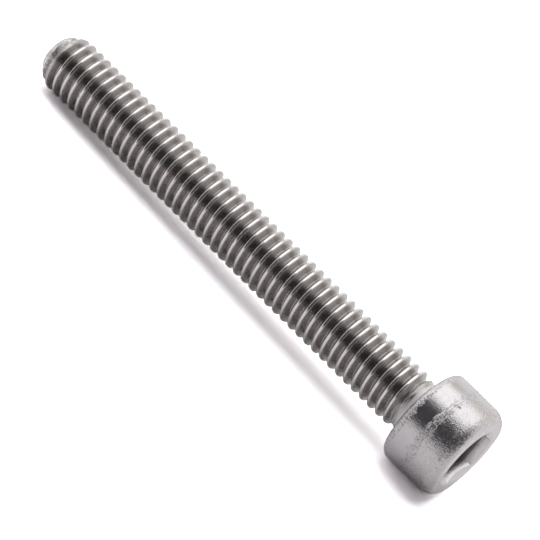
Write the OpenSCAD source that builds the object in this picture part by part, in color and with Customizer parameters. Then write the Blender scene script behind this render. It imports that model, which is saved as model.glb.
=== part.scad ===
// Socket head cap screw, size 2BA by 1 1/2 inch, in stainless steel.
// It is one piece: a cold headed blank with a pressed hexagon socket and a rolled thread.
// It stands on the flat top of its head, with the shank pointing up along +Z.

/* [Head] */
// Diameter of the plain cylindrical head
head_d = 7.7; // [7.2:0.1:9]
// Height of the head, from its flat top to its bearing face
head_h = 4.7; // [4.2:0.1:6]
// Diameter of the flat top inside the rounded edge
top_flat_d = 6.7; // [6.4:0.1:7]
// Radius of the rounded edge round the top
top_edge_r = 1.35; // [1:0.05:1.6]
// Radius of the smaller rounded edge round the bearing face
bearing_edge_r = 0.6; // [0.1:0.05:0.8]

/* [Socket] */
// Width across the flats of the hexagon socket
socket_af = 3.97; // [3:0.01:4.3]
// Depth of the full hexagon, measured from the top of the head
socket_depth = 2.35; // [1.6:0.05:2.8]
// Diameter of the conical chamfer at the mouth of the socket
mouth_d = 5; // [4.8:0.05:5.6]
// Included angle of that chamfer
mouth_angle = 120; // [90:5:130]
// How far each flat of the hexagon opens outwards at the mouth
mouth_flare = 0.14; // [0.05:0.01:0.2]
// Depth over which the flats open out
flare_depth = 0.5; // [0.3:0.05:0.8]
// Included angle of the cone at the bottom of the socket
point_angle = 120; // [110:5:150]
// Turn of the hexagon about the screw's axis
socket_turn = 4; // [0:1:59]

/* [Shank] */
// Length of the shank, from the bearing face to the end of the thread
shank_length = 38.3; // [12:0.1:50]
// Diameter of the plain neck under the head, which is that of the blank before rolling
neck_d = 4.1; // [4:0.05:4.3]
// Length of the plain neck
neck_length = 0.35; // [0.3:0.05:2]
// Radius of the fillet where the neck meets the head
neck_fillet_r = 0.3; // [0.1:0.05:0.3]

/* [Thread] */
// Diameter over the crests
thread_d = 4.6; // [4.5:0.01:4.8]
// Distance from one crest to the next
pitch = 0.81; // [0.7:0.01:1]
// Angle between the two flanks
flank_angle = 47.5; // [47.5:0.5:60]
// Radial depth from crest to root, in pitches
depth_in_pitches = 0.6; // [0.5:0.01:0.6]
// Radius of the rounded crests and roots, in pitches
round_in_pitches = 0.18; // [0.1:0.01:0.18]
// Length over which the thread fades out towards the neck
runout_length = 0.9; // [0.8:0.1:2]
// Diameter of the flat inside the rounded end
end_flat_d = 2.8; // [2.4:0.1:3.6]
// Radius of the rounding that runs from that flat out to the crests
end_round_r = 2.3; // [1.4:0.1:2.6]
// Turn of the thread's start about the screw's axis
thread_turn = 205; // [0:5:355]

/* [Hidden] */

steel = [0.72, 0.7, 0.68];
// Overlap that keeps joined or cut solids from meeting face on face
lap = 0.02;
// How far a cutter reaches past what it cuts
cutter_reach = 1;
// Facets round a turned surface
round_fn = 96;
// Steps in one turn of the thread
turn_steps = 20;

head_r = head_d / 2;
neck_r = neck_d / 2;
screw_length = head_h + shank_length;

// The rounded top edge is tangent to the side and meets the flat top at a crease
top_edge_x = head_r - top_edge_r;
top_edge_z = sqrt(pow(top_edge_r, 2) - pow(top_flat_d / 2 - top_edge_x, 2));

// Thread form: straight flanks that run tangent into rounded crests and roots
half_flank = flank_angle / 2;
crest_r = thread_d / 2;
root_r = crest_r - depth_in_pitches * pitch;
round_r = round_in_pitches * pitch;
shoulder_run = round_r * cos(half_flank);
shoulder_drop = round_r * (1 - sin(half_flank));
// Height above the middle of the crest and radius, for each point in one pitch
profile = [
    [-shoulder_run, crest_r - shoulder_drop],
    [0, crest_r],
    [shoulder_run, crest_r - shoulder_drop],
    [pitch / 2 - shoulder_run, root_r + shoulder_drop],
    [pitch / 2, root_r],
    [pitch / 2 + shoulder_run, root_r + shoulder_drop],
];
last_point = len(profile) - 1;

// Centre of the rounding at the end, which runs out just past the crests
end_round_x = crest_r + lap - end_round_r;
end_round_z = screw_length - sqrt(pow(end_round_r, 2) - pow(end_flat_d / 2 - end_round_x, 2));

// The helix starts inside the neck and runs past the end, where the rounded end is cut
thread_start_z = head_h + neck_fillet_r + lap;
fade_start_z = head_h + neck_length - lap;
spare_turns = 2;
thread_turns = ceil((screw_length - thread_start_z) / pitch) + spare_turns;
thread_end_z = thread_start_z + thread_turns * pitch;
last_step = (thread_turns - 1) * turn_steps;
thread_core_r = neck_r - lap;

// How far the thread form has grown out of the neck at height z, from 0 to 1
function grown(z) =
    let (t = min(1, max(0, (z - fade_start_z) / runout_length)))
    t * t * (3 - 2 * t);

// Point j of the profile at step i of the helix
function thread_point(i, j) =
    let (
        a = 360 * i / turn_steps + thread_turn,
        z = thread_start_z + pitch * i / turn_steps + profile[j].x,
        r = thread_core_r + grown(z) * (profile[j].y - thread_core_r)
    )
    [r * cos(a), r * sin(a), z];

// Number of that point in the list, where the point past the last one lies a turn further on
function at(i, j) =
    j > last_point ? at(i + turn_steps, 0) : i * len(profile) + j;

// Two triangles between steps i and i + 1
function strip(i, j) = [
    [at(i, j), at(i + 1, j + 1), at(i + 1, j)],
    [at(i, j), at(i, j + 1), at(i + 1, j + 1)],
];

// Core and thread in one closed surface, closed at each end by a fan about the axis
module helical_thread() {
    helix = [
        for (i = [0 : last_step + turn_steps]) for (j = [0 : last_point]) thread_point(i, j)
    ];
    axis_ends = [[0, 0, thread_start_z], [0, 0, thread_end_z]];
    low = len(helix);
    high = low + 1;
    skin = [for (i = [0 : last_step - 1]) for (j = [0 : last_point]) each strip(i, j)];
    low_fan = [
        for (i = [0 : turn_steps - 1]) [at(i, 0), at(i + 1, 0), low],
        for (j = [0 : last_point]) [at(0, j + 1), at(0, j), low],
    ];
    high_fan = [
        for (i = [last_step : last_step + turn_steps - 1]) [at(i + 1, 0), at(i, 0), high],
        for (j = [0 : last_point]) [at(last_step, j), at(last_step, j + 1), high],
    ];
    polyhedron(points = concat(helix, axis_ends), faces = concat(skin, low_fan, high_fan));
}

// What the rounded end and its flat take off the thread
module end_cut() {
    rotate_extrude($fn = round_fn) difference() {
        translate([0, end_round_z])
            square([crest_r + cutter_reach, thread_end_z + pitch - end_round_z]);
        intersection() {
            translate([end_round_x, end_round_z]) circle(r = end_round_r, $fn = round_fn);
            square([crest_r + cutter_reach, screw_length]);
        }
    }
}

// Half section of the head with its neck, to be turned about the axis
module head_section() {
    difference() {
        square([head_r, head_h]);
        translate([top_edge_x, -lap]) difference() {
            square([top_edge_r + lap, top_edge_z + lap]);
            translate([0, top_edge_z + lap]) circle(r = top_edge_r, $fn = round_fn);
        }
        translate([head_r - bearing_edge_r, head_h - bearing_edge_r]) difference() {
            square(bearing_edge_r + lap);
            circle(r = bearing_edge_r, $fn = round_fn);
        }
    }
    translate([0, head_h - lap]) square([neck_r, neck_length + lap]);
    translate([neck_r - lap, head_h - lap]) difference() {
        square(neck_fillet_r + lap);
        translate([neck_fillet_r + lap, neck_fillet_r + lap])
            circle(r = neck_fillet_r, $fn = round_fn);
    }
}

// Hexagonal prism or taper, measured from its axis to its flats at the low and the high end
module hexagon(low_r, high_r, height) {
    corner = 1 / cos(30);
    cylinder(r1 = low_r * corner, r2 = high_r * corner, h = height, $fn = 6);
}

// Hexagon socket with its flared and chamfered mouth and the cone at its bottom
module socket() {
    flat_r = socket_af / 2;
    flare_slope = mouth_flare / flare_depth;
    mouth_h = (mouth_d / 2) / tan(mouth_angle / 2);
    point_h = flat_r / tan(point_angle / 2);
    rotate([0, 0, socket_turn]) {
        translate([0, 0, -cutter_reach]) hexagon(flat_r, flat_r, socket_depth + cutter_reach);
        translate([0, 0, -lap])
            hexagon(flat_r + mouth_flare + lap * flare_slope, flat_r, flare_depth + lap);
    }
    cylinder(r1 = mouth_d / 2, r2 = 0, h = mouth_h, $fn = round_fn);
    translate([0, 0, socket_depth]) cylinder(r1 = flat_r, r2 = 0, h = point_h, $fn = round_fn);
}

module cap_screw() {
    color(steel) {
        difference() {
            rotate_extrude($fn = round_fn) head_section();
            socket();
        }
        difference() {
            helical_thread();
            end_cut();
        }
    }
}

cap_screw();
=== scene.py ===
import math

import bmesh
import bpy
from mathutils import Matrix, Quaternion, Vector


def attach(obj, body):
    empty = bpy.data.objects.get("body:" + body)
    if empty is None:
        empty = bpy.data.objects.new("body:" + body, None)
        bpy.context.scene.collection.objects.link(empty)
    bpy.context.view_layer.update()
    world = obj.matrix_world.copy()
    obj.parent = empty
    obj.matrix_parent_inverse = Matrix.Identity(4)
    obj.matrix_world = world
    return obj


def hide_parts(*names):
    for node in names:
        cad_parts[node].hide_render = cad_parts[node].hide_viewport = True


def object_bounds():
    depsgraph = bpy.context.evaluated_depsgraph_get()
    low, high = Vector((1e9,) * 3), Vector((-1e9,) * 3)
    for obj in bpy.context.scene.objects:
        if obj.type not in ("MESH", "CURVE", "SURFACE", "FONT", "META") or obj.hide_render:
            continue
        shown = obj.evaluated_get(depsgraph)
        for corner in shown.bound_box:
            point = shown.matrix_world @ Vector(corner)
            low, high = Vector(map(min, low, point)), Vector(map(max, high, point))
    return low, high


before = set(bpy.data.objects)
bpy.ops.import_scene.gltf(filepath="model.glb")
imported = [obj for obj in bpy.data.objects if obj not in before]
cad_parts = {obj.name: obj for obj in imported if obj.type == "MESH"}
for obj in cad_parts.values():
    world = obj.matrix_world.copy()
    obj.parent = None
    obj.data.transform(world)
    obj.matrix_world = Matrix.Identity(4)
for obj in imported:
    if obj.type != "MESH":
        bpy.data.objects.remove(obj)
cad_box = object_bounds()
mm = 0.001

# Camera: a long lens looks across the screw from the side of its socket, rolled so that the
# screw runs from the upper left to the lower right. The screw stands on its head along +Z, and
# every direction round it is an angle from +X, the camera's side, towards +Y.
camera_aim = Vector((0, -0.33, 19.72)) * mm
camera_distance = 212.06 * mm
camera_dip = math.radians(17)
camera_roll = math.radians(-45.27)
film_width = 36
focal_length = 199.3

camera = bpy.data.objects.new("camera", bpy.data.cameras.new("camera"))
camera.data.sensor_width = film_width
camera.data.lens = focal_length
camera.data.clip_start, camera.data.clip_end = 10 * mm, 5000 * mm
look = Vector((-math.cos(camera_dip), 0, math.sin(camera_dip)))
camera.location = camera_aim - look * camera_distance
camera.rotation_mode = "QUATERNION"
camera.rotation_quaternion = look.to_track_quat("-Z", "Y") @ Quaternion((0, 0, 1), camera_roll)
bpy.context.scene.collection.objects.link(camera)
bpy.context.scene.camera = camera


# Stainless steel: one grade throughout, bright where the rolls have burnished the thread and
# satin where the head was formed in the die. Value wraps a socket, so that masks and mixtures
# are written as sums and products.
class Value:
    def __init__(self, tree, socket=None):
        self.tree, self.socket = tree, socket

    def node(self, kind, inputs=None, output=0, **settings):
        made = self.tree.nodes.new(kind)
        for name, setting in settings.items():
            setattr(made, name, setting)
        for name, value in (inputs or {}).items():
            if isinstance(value, Value):
                self.tree.links.new(value.socket, made.inputs[name])
            else:
                made.inputs[name].default_value = value
        return Value(self.tree, made.outputs[output])

    def math(self, operation, *values):
        return self.node("ShaderNodeMath", dict(enumerate(values)), operation=operation)

    def __add__(self, other):
        return self.math("ADD", self, other)

    def __radd__(self, other):
        return self.math("ADD", other, self)

    def __sub__(self, other):
        return self.math("SUBTRACT", self, other)

    def __rsub__(self, other):
        return self.math("SUBTRACT", other, self)

    def __mul__(self, other):
        return self.math("MULTIPLY", self, other)

    def __rmul__(self, other):
        return self.math("MULTIPLY", other, self)

    def __truediv__(self, other):
        return self.math("DIVIDE", self, other)


def smooth_between(value, low, high):
    """0 below low, 1 above high and a smooth rise between them."""
    return value.node(
        "ShaderNodeMapRange",
        {"Value": value, "From Min": low, "From Max": high},
        interpolation_type="SMOOTHSTEP",
    )


def blend_colours(share, first, second):
    return share.node(
        "ShaderNodeMix", {0: share, 6: first, 7: second}, output=2, data_type="RGBA"
    )


def grain(place, scale, detail=2, roughness=0.5):
    """Noise from 0 to 1, with its scale in grains to the metre."""
    return place.node(
        "ShaderNodeTexNoise",
        {"Vector": place, "Scale": scale, "Detail": detail, "Roughness": roughness},
    )


def new_finish(name):
    material = bpy.data.materials.new(name)
    material.use_nodes = True
    material.node_tree.nodes.clear()
    return material, Value(material.node_tree)


def finish_output(start, shader):
    out = start.tree.nodes.new("ShaderNodeOutputMaterial")
    start.tree.links.new(shader.socket, out.inputs["Surface"])


# Head: a plain cylinder with a broad rounded edge round its flat top, a small one round its
# bearing face, and the neck below. It was upset from the wire in a die, which left the sides
# satin and faintly pitted, and the hexagon socket was pressed into it.
head_r = cad_box[1].x
screw_length = cad_box[1].z
head_h = 4.7 * mm
top_flat_r = 3.35 * mm
top_edge_r = 1.35 * mm
bearing_edge_r = 0.6 * mm
neck_r = 2.05 * mm
neck_length = 0.5 * mm
neck_fillet_r = 0.3 * mm
socket_flat_r = 1.985 * mm
socket_depth = 2.35 * mm
socket_turn = math.radians(3.75)
mouth_r = 2.5 * mm
mouth_flare = 0.14 * mm
flare_depth = 0.5 * mm
# Half the angle of the chamfer at the mouth and of the socket's point
cone_half_angle = math.radians(60)
mouth_slope = math.tan(cone_half_angle)
socket_point_h = socket_flat_r / math.tan(cone_half_angle)
head_steps = 192
# Distance within which vertices are welded
weld = 0.001 * mm

satin_dark, satin_light = (0.52, 0.495, 0.5, 1), (0.65, 0.625, 0.64, 1)
# Darker colours inside the socket: painted shade in the recess
socket_shade_dark, socket_shade_light = (0.17, 0.15, 0.145, 1), (0.36, 0.33, 0.32, 1)
pit_colour = (0.16, 0.14, 0.135, 1)
stain_colour = (0.34, 0.24, 0.2, 1)
# Light colour of the neck, partly a painted highlight for the bright ring under the head
neck_highlight_colour = (0.8, 0.78, 0.79, 1)


def arc(centre, radius, first, last, count):
    """Points (radius from axis, height) along an arc, angles in degrees."""
    turn = [math.radians(first + (last - first) * k / count) for k in range(count + 1)]
    return [(centre[0] + radius * math.cos(a), centre[1] + radius * math.sin(a)) for a in turn]


def set_sharp(bm, degrees):
    """Smooth faces, with a crease along each edge where they meet at more than that angle."""
    for face in bm.faces:
        face.smooth = True
    for edge in bm.edges:
        edge.smooth = (
            len(edge.link_faces) == 2 and edge.calc_face_angle(0) < math.radians(degrees)
        )


def piece_from(bm, name, material):
    mesh = bpy.data.meshes.new(name)
    bm.to_mesh(mesh)
    bm.free()
    mesh.materials.append(material)
    piece = bpy.data.objects.new(name, mesh)
    bpy.context.scene.collection.objects.link(piece)
    return piece


def make_head():
    bm = bmesh.new()
    edge_x = head_r - top_edge_r
    edge_z = math.sqrt(top_edge_r**2 - (top_flat_r - edge_x) ** 2)
    crease = -math.degrees(math.asin(edge_z / top_edge_r))
    fillet_centre = (neck_r + neck_fillet_r, head_h + neck_fillet_r)
    # Loops that keep the shading of the flat top and the bearing face flat
    top_loop_r = top_flat_r - 0.1 * mm
    bearing_loop_r = neck_r + 0.8 * mm
    # The neck's end lies inside the thread
    neck_end_r = neck_r - 0.3 * mm
    outline = [(mouth_r, 0), (top_loop_r, 0)]
    outline += arc((edge_x, edge_z), top_edge_r, crease, 0, 16)
    outline += [(head_r, head_h / 2)]
    outline += arc((head_r - bearing_edge_r, head_h - bearing_edge_r), bearing_edge_r, 0, 90, 12)
    outline += [(bearing_loop_r, head_h)]
    outline += arc(fillet_centre, neck_fillet_r, 270, 180, 8)
    outline += [(neck_r, head_h + neck_length), (neck_end_r, head_h + neck_length)]
    points = [bm.verts.new((r, 0, z)) for r, z in outline]
    edges = [bm.edges.new(pair) for pair in zip(points, points[1:])]
    bmesh.ops.spin(
        bm, geom=points + edges, cent=(0, 0, 0), axis=(0, 0, 1), angle=math.tau,
        steps=head_steps, use_merge=True,
    )
    bmesh.ops.remove_doubles(bm, verts=bm.verts, dist=weld)

    def ring(radius, height):
        near = 0.01 * mm
        return [
            e for e in bm.edges
            if e.is_boundary and all(
                abs(v.co.xy.length - radius) < near and abs(v.co.z - height) < near
                for v in e.verts
            )
        ]

    def draw_in(edges, place):
        """Extrudes a ring of edges and puts each new vertex at (radius, height) for its angle."""
        made = bmesh.ops.extrude_edge_only(bm, edges=edges)["geom"]
        for v in (v for v in made if isinstance(v, bmesh.types.BMVert)):
            angle = math.atan2(v.co.y, v.co.x)
            r, z = place(angle)
            v.co = (r * math.cos(angle), r * math.sin(angle), z)
        return [e for e in made if isinstance(e, bmesh.types.BMEdge)]

    def hexagon_r(angle, flat_r=socket_flat_r):
        from_flat = (angle - socket_turn) % (math.pi / 3) - math.pi / 6
        return flat_r / math.cos(from_flat)

    def scallop(angle):
        """Where the conical chamfer meets the flared flat or, at a corner, stays above it."""
        least_height = 0.01 * mm
        opened = hexagon_r(angle, socket_flat_r + mouth_flare)
        taper = hexagon_r(angle, mouth_flare) / flare_depth
        height = max(least_height, (mouth_r - opened) / (mouth_slope - taper))
        return mouth_r - height * mouth_slope, height

    wall = draw_in(ring(mouth_r, 0), scallop)
    wall = draw_in(wall, lambda a: (hexagon_r(a), flare_depth))
    wall = draw_in(wall, lambda a: (hexagon_r(a), socket_depth))
    wall = draw_in(wall, lambda a: (socket_flat_r, socket_depth))
    wall = draw_in(wall, lambda a: (socket_flat_r / 2, socket_depth + socket_point_h / 2))
    draw_in(wall, lambda a: (0, socket_depth + socket_point_h))
    draw_in(ring(neck_end_r, head_h + neck_length), lambda a: (0, head_h + neck_length))
    bmesh.ops.remove_doubles(bm, verts=bm.verts, dist=weld)
    bmesh.ops.recalc_face_normals(bm, faces=bm.faces)
    set_sharp(bm, 25)
    return bm


def round_axis(place):
    """Distance from the screw's axis, turn about it and height, from a place on the piece."""
    x, y, z = (place.node("ShaderNodeSeparateXYZ", {0: place}, output=k) for k in range(3))
    return place.math("SQRT", x * x + y * y), place.math("ARCTAN2", y, x), z


def head_finish():
    """Satin steel with matt, pitted patches where the metal was upset the most."""
    material, start = new_finish("formed_head")
    place = start.node("ShaderNodeTexCoord", output="Object")
    radius, turn, height = round_axis(place)
    fine = grain(place, 11000, detail=2, roughness=0.6)
    grit = grain(place, 5400, detail=2, roughness=0.6)
    mottle = grain(place, 2300, detail=3, roughness=0.6)
    broad = grain(place, 700, detail=2, roughness=0.5)
    # Bands round the head, by height: the rough margin at the bearing edge, a worn band near
    # the middle, a pitted one above it and the crazed zone on the rounded edge
    level = height + (mottle - 0.5) * 0.7 * mm + (grit - 0.5) * 0.35 * mm
    margin = smooth_between(level, 4.05 * mm, 4.25 * mm)
    worn_band = smooth_between(level, 2.15 * mm, 2.3 * mm) * (
        1 - smooth_between(level, 2.7 * mm, 2.9 * mm)
    )
    pitted = 1 - smooth_between(level, 2.1 * mm, 2.3 * mm)
    crazed = 1 - smooth_between(level, 0.95 * mm, 1.2 * mm)
    side = smooth_between(radius, head_r - 0.55 * mm, head_r - 0.3 * mm)
    around = start.node(
        "ShaderNodeCombineXYZ", {0: turn * 6, 1: radius * 3000, 2: height * 7000}
    )
    scratched = worn_band * smooth_between(grain(around, 1, detail=2, roughness=0.6), 0.42, 0.58)
    rough = side * (0.05 + margin * 0.9 + scratched * 0.9 + pitted * 0.25 + crazed * 0.2)
    speck = smooth_between(grit, 0.54, 0.62)
    pit = smooth_between(fine * 0.5 + grit * 0.5, 0.56, 0.63)
    stain = smooth_between(broad * mottle, 0.3, 0.42) * crazed * side
    # The socket, from below its flared mouth to its point, where the colour is darker as painted
    # shade inside the recess, and the neck on the other side
    socket = smooth_between(height, flare_depth + 0.06 * mm, flare_depth + 0.14 * mm) * (
        1 - smooth_between(radius, 2.4 * mm, 2.6 * mm)
    ) * (1 - smooth_between(height, 3.7 * mm, 3.9 * mm))
    # The neck's light colour is partly a painted highlight for the bright ring under the head
    neck = smooth_between(height, head_h + 0.05 * mm, head_h + 0.15 * mm)
    colour = blend_colours(mottle, satin_dark, satin_light)
    colour = blend_colours(pit * (0.04 + rough * 0.45), colour, pit_colour)
    colour = blend_colours(stain * 0.6, colour, stain_colour)
    # Painted shade: the socket's darker colours
    colour = blend_colours(socket, colour, blend_colours(mottle, socket_shade_dark, socket_shade_light))
    colour = blend_colours(neck, colour, neck_highlight_colour)
    roughness = 0.17 + (fine - 0.5) * 0.1 + speck * rough * 0.45 + neck * 0.5
    relief = fine * (0.3 + rough * 0.4) + grit * rough * 1.2 + mottle * rough * 0.2
    bump = start.node(
        "ShaderNodeBump", {"Strength": 1, "Distance": 0.045 * mm, "Height": relief}
    )
    shader = start.node(
        "ShaderNodeBsdfPrincipled",
        {"Base Color": colour, "Metallic": 1, "Roughness": roughness, "Normal": bump},
    )
    finish_output(start, shader)
    return material


head = piece_from(make_head(), "head", head_finish())
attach(head, "root")
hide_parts("cap_screw")


# Threaded shank: the thread was rolled between flat dies, so its crests are rounded and
# burnished and its flanks are brown-grey. It fades out towards the neck over one torn turn, and
# at the other end it is cut by the rounded end of the blank.
thread_r = 2.3 * mm
pitch = 0.81 * mm
half_flank = math.radians(47.5 / 2)
thread_depth = 0.63 * pitch
crest_round_r = 0.2 * pitch
root_round_r = 0.06 * pitch
runout_length = 1.0 * mm
end_flat_r = 1.4 * mm
end_round_r = 2.3 * mm
thread_steps = 64
thread_turn = math.radians(195.9)
# Steps in half the rounding of a crest and of a root
crest_steps, root_steps = 4, 3
# Overlap that keeps the thread's core inside the neck and the end's rounding outside the crests
lap = 0.02 * mm

flank_dark, flank_light = (0.3, 0.275, 0.265, 1), (0.45, 0.42, 0.405, 1)
crest_colour = (0.74, 0.72, 0.72, 1)
# Light colour of the bare neck and torn streaks, partly a painted highlight for the bright ring
# at the neck
torn_and_highlight_colour = (0.78, 0.76, 0.77, 1)
end_dark, end_light = (0.4, 0.37, 0.36, 1), (0.74, 0.71, 0.72, 1)


def thread_outline():
    """One pitch of the thread form: (height above the crest's middle, drop below the crest)."""
    swing = math.pi / 2 - half_flank
    crest = [swing * k / crest_steps for k in range(-crest_steps, crest_steps + 1)]
    root = [swing * k / root_steps for k in range(-root_steps, root_steps + 1)]
    return [
        (crest_round_r * math.sin(a), crest_round_r * (1 - math.cos(a))) for a in crest
    ] + [
        (pitch / 2 + root_round_r * math.sin(a), thread_depth - root_round_r * (1 - math.cos(a)))
        for a in root
    ]


def make_shank():
    bm = bmesh.new()
    # The open rim of the first turn climbs one pitch, and from here it lies in head and neck
    start_z = head_h + neck_fillet_r - pitch
    turns = math.ceil((screw_length - start_z) / pitch) + 1
    outline = thread_outline()
    outline.append((outline[0][0] + pitch, outline[0][1]))
    points = [bm.verts.new((thread_r - drop, 0, start_z + rise)) for rise, drop in outline]
    edges = [bm.edges.new(pair) for pair in zip(points, points[1:])]
    bmesh.ops.rotate(
        bm, verts=points, cent=(0, 0, 0),
        matrix=Quaternion((0, 0, 1), thread_turn).to_matrix(),
    )
    bmesh.ops.spin(
        bm, geom=points + edges, cent=(0, 0, 0), axis=(0, 0, 1),
        dvec=(0, 0, pitch / thread_steps), angle=math.tau, steps=thread_steps, use_merge=False,
    )
    one_turn = bm.verts[:] + bm.edges[:] + bm.faces[:]
    for k in range(1, turns):
        copy = bmesh.ops.duplicate(bm, geom=one_turn)["geom"]
        copy_verts = [v for v in copy if isinstance(v, bmesh.types.BMVert)]
        bmesh.ops.translate(bm, verts=copy_verts, vec=(0, 0, k * pitch))
    bmesh.ops.remove_doubles(bm, verts=bm.verts, dist=2 * weld)
    rim = [e for e in bm.edges if e.is_boundary]
    made = bmesh.ops.extrude_edge_only(bm, edges=rim)["geom"]
    for v in (v for v in made if isinstance(v, bmesh.types.BMVert)):
        v.co = (0, 0, start_z if v.co.z < screw_length / 2 else screw_length)
    core = neck_r - lap
    end_round_x = thread_r + lap - end_round_r
    end_round_z = screw_length - math.sqrt(end_round_r**2 - (end_flat_r - end_round_x) ** 2)
    for v in bm.verts:
        radius = v.co.xy.length
        if radius == 0:
            continue
        grown = min(1, max(0, (v.co.z - head_h - neck_length) / runout_length))
        grown = grown * grown * (3 - 2 * grown)
        shaped = core + grown * (radius - core)
        v.co.z = min(v.co.z, screw_length)
        if v.co.z > end_round_z:
            half_chord = math.sqrt(end_round_r**2 - (v.co.z - end_round_z) ** 2)
            shaped = min(shaped, end_round_x + half_chord)
        v.co.xy *= shaped / radius
    bmesh.ops.remove_doubles(bm, verts=bm.verts, dist=weld)
    bmesh.ops.dissolve_degenerate(bm, dist=weld, edges=bm.edges)
    bmesh.ops.recalc_face_normals(bm, faces=bm.faces)
    set_sharp(bm, 30)
    return bm


def thread_finish():
    """Brown-grey flanks and roots below crests that the rolls have burnished."""
    material, start = new_finish("rolled_thread")
    place = start.node("ShaderNodeTexCoord", output="Object")
    radius, turn, height = round_axis(place)
    depth = (thread_r - radius) / thread_depth
    crest = 1 - smooth_between(depth, 0.01, 0.1)
    drawn = start.node(
        "ShaderNodeCombineXYZ", {0: turn * 0.9, 1: radius * 9000, 2: height * 9000}
    )
    streaks = grain(drawn, 1.6, detail=3, roughness=0.6)
    blotches = grain(place, 1400, detail=2, roughness=0.5)
    specks = smooth_between(grain(place, 4200, detail=3, roughness=0.65), 0.38, 0.62)
    worn = smooth_between(blotches, 0.55, 0.75)
    # The bare neck and the torn streaks of the first turn beside it, in a light colour that is
    # partly a painted highlight for the bright ring at the neck, and the mottled end
    bare = 1 - smooth_between(height, head_h + 0.5 * mm, head_h + 0.7 * mm)
    torn = smooth_between(streaks, 0.5, 0.6) * (
        1 - smooth_between(height, head_h + 1.1 * mm, head_h + 1.6 * mm)
    )
    neck = bare.math("MAXIMUM", bare, torn)
    end = smooth_between(
        height + (blotches - 0.5) * mm, screw_length - 1.5 * mm, screw_length - 0.7 * mm
    )
    colour = blend_colours(streaks, flank_dark, flank_light)
    colour = blend_colours(crest, colour, crest_colour)
    colour = blend_colours(neck, colour, torn_and_highlight_colour)
    colour = blend_colours(end, colour, blend_colours(specks, end_dark, end_light))
    roughness = 0.27 + worn * 0.1 - crest * 0.09 + neck * 0.5 + end * 0.25
    bump = start.node(
        "ShaderNodeBump", {"Strength": 0.3, "Distance": 0.008 * mm, "Height": streaks}
    )
    # The coat is the thread's burnished skin, which shines where it is seen edge on
    shader = start.node(
        "ShaderNodeBsdfPrincipled",
        {
            "Base Color": colour, "Metallic": 1, "Roughness": roughness, "Normal": bump,
            "Coat Weight": 1, "Coat Roughness": 0.2, "Coat IOR": 1.6,
        },
    )
    finish_output(start, shader)
    return material


shank = piece_from(make_shank(), "threaded_shank", thread_finish())
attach(shank, "root")
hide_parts("cap_screw")

# Table: a white sheet that the side of the screw touches along the rim of its head and the
# crests at its end, as it would lie. The camera's rays see it brighter than it is, which gives
# the photograph's white ground, and pass through it from behind.
table_normal_turn = math.radians(62)
sheet_size = 900 * mm
# Room between a sheet and the steel that rests on it
sheet_gap = 0.02 * mm
sheet_white = (0.9, 0.885, 0.905)
# How much brighter the sheets are to the camera, and the table in the steel's reflections
camera_gain = 3.8
table_glossy_gain = 1.4


def round_screw(turn, distance, height):
    return Vector((math.cos(turn) * distance, math.sin(turn) * distance, height))


def make_sheet(name, centre, normal, along, width, length, material):
    """A flat sheet with its length along `along` and its front face towards `normal`."""
    bm = bmesh.new()
    bmesh.ops.create_grid(bm, x_segments=1, y_segments=1, size=0.5)
    bmesh.ops.scale(bm, vec=(width, length, 1), verts=bm.verts)
    across = along.cross(normal).normalized()
    up = normal.cross(across).normalized()
    for v in bm.verts:
        v.co = centre + across * v.co.x + up * v.co.y
    sheet = piece_from(bm, name, material)
    return sheet


def white_sheet_finish(name, glossy_gain):
    """White that the camera and the steel see brighter than it lights, and clear from behind."""
    material, start = new_finish(name)

    def white(gain):
        colour = (*(gain * c for c in sheet_white), 1)
        return start.node("ShaderNodeBsdfDiffuse", {"Color": colour})

    seen = start.node("ShaderNodeLightPath", output="Is Camera Ray")
    mirrored = start.node("ShaderNodeLightPath", output="Is Glossy Ray")
    behind = start.node("ShaderNodeNewGeometry", output="Backfacing")
    lit = start.node("ShaderNodeMixShader", {0: mirrored, 1: white(1), 2: white(glossy_gain)})
    lit = start.node("ShaderNodeMixShader", {0: seen, 1: lit, 2: white(camera_gain)})
    clear = start.node("ShaderNodeBsdfTransparent")
    finish_output(start, start.node("ShaderNodeMixShader", {0: seen * behind, 1: lit, 2: clear}))
    return material


rim_z = head_h - bearing_edge_r
last_crest_z = screw_length - 0.6 * mm
lean = math.asin((head_r - thread_r) / (last_crest_z - rim_z))
outward = round_screw(table_normal_turn, 1, 0)
upward = Vector((0, 0, 1))
table_along = upward * math.cos(lean) + outward * math.sin(lean)
table_normal = outward * math.cos(lean) - upward * math.sin(lean)
table_touch = -outward * (head_r + sheet_gap) + upward * rim_z
make_sheet(
    "table", table_touch, table_normal, table_along, sheet_size, sheet_size,
    white_sheet_finish("table_white", table_glossy_gain),
)

# Floor: the screw stands on a white floor, which is clear from below and takes part in no
# reflection or light, so that it shows only in views from above.
floor = make_sheet(
    "floor", Vector((0, 0, -sheet_gap)), upward, Vector((1, 0, 0)), sheet_size, sheet_size,
    white_sheet_finish("floor_white", 1),
)
floor.visible_diffuse = False
floor.visible_glossy = False
floor.visible_shadow = False

# Light: a long soft lamp over the table, white surroundings behind the screw, an olive strip
# between the two, and black and grey flags in front, which the polished sides show as a dark
# band. One more flag below darkens the shadow. The angles are degrees from the table's normal.
lamp_distance = 300 * mm
under_flag_size = 1800 * mm
under_flag_grey = (0.05, 0.05, 0.05)


def spread(first, last):
    """Turn of the middle and width, at the lamp's distance, of the sector between two angles."""
    middle = table_normal_turn + math.radians((first + last) / 2)
    return middle, 2 * lamp_distance * math.tan(math.radians((last - first) / 2))


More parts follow.
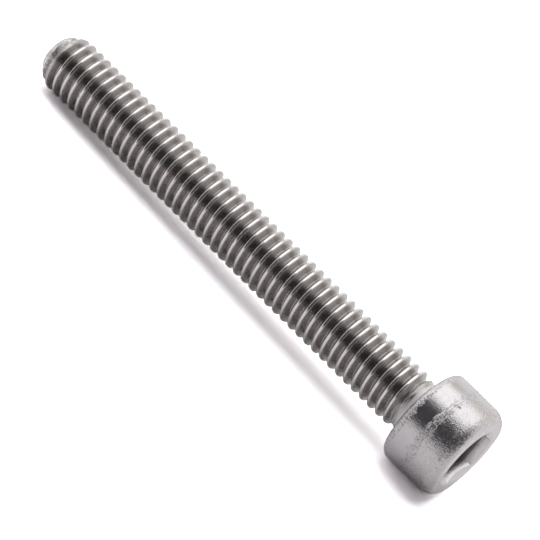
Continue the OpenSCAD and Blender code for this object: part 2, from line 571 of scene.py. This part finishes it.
def add_lamp(name, first, last, low_z, high_z, radiance):
    turn, width = spread(first, last)
    lamp = bpy.data.objects.new(name, bpy.data.lights.new(name, "AREA"))
    lamp.data.shape = "RECTANGLE"
    lamp.data.size, lamp.data.size_y = width, high_z - low_z
    lamp.data.energy = radiance * math.pi * width * (high_z - low_z)
    lamp.location = round_screw(turn, lamp_distance, (low_z + high_z) / 2)
    lamp.rotation_mode = "QUATERNION"
    lamp.rotation_quaternion = (-round_screw(turn, 1, 0)).to_track_quat("-Z", "Y")
    bpy.context.scene.collection.objects.link(lamp)


def card_finish(name, colour):
    material, start = new_finish(name)
    finish_output(start, start.node("ShaderNodeEmission", {"Color": (*colour, 1)}))
    return material


def add_card(name, first, last, low_z, high_z, colour):
    turn, width = spread(first, last)
    card = make_sheet(
        name, round_screw(turn, lamp_distance, (low_z + high_z) / 2),
        -round_screw(turn, 1, 0), upward, width, high_z - low_z, card_finish(name, colour),
    )
    card.visible_camera = False


add_lamp("soft_lamp", -22, 32, -100 * mm, 1200 * mm, radiance=0.53)
add_card("olive_strip", 32, 50, -180 * mm, 170 * mm, (0.76, 0.74, 0.66))
add_card("black_flag", -88, -32, -800 * mm, 560 * mm, (0.07, 0.07, 0.074))
add_card("grey_flag", -32, -22, -800 * mm, 250 * mm, (0.22, 0.22, 0.225))
add_card("low_flag", -22, -2, -800 * mm, -100 * mm, (0.08, 0.08, 0.085))
under_flag = make_sheet(
    "under_flag", Vector((0, 0, -lamp_distance)), upward, Vector((1, 0, 0)),
    under_flag_size, under_flag_size, card_finish("under_flag", under_flag_grey),
)
under_flag.visible_camera = False
under_flag.visible_glossy = False

# World: a plain white studio on every side. The steel mirrors it wherever no lamp or flag
# stands, and it lights the table from all round.
world = bpy.data.worlds.new("studio")
bpy.context.scene.world = world
world.use_nodes = True
world.node_tree.nodes.clear()
start = Value(world.node_tree)
sky = start.node("ShaderNodeBackground", {"Color": (1, 1, 1, 1), "Strength": 1})
world_out = world.node_tree.nodes.new("ShaderNodeOutputWorld")
world.node_tree.links.new(sky.socket, world_out.inputs["Surface"])

bpy.context.scene.view_settings.view_transform = "Standard"
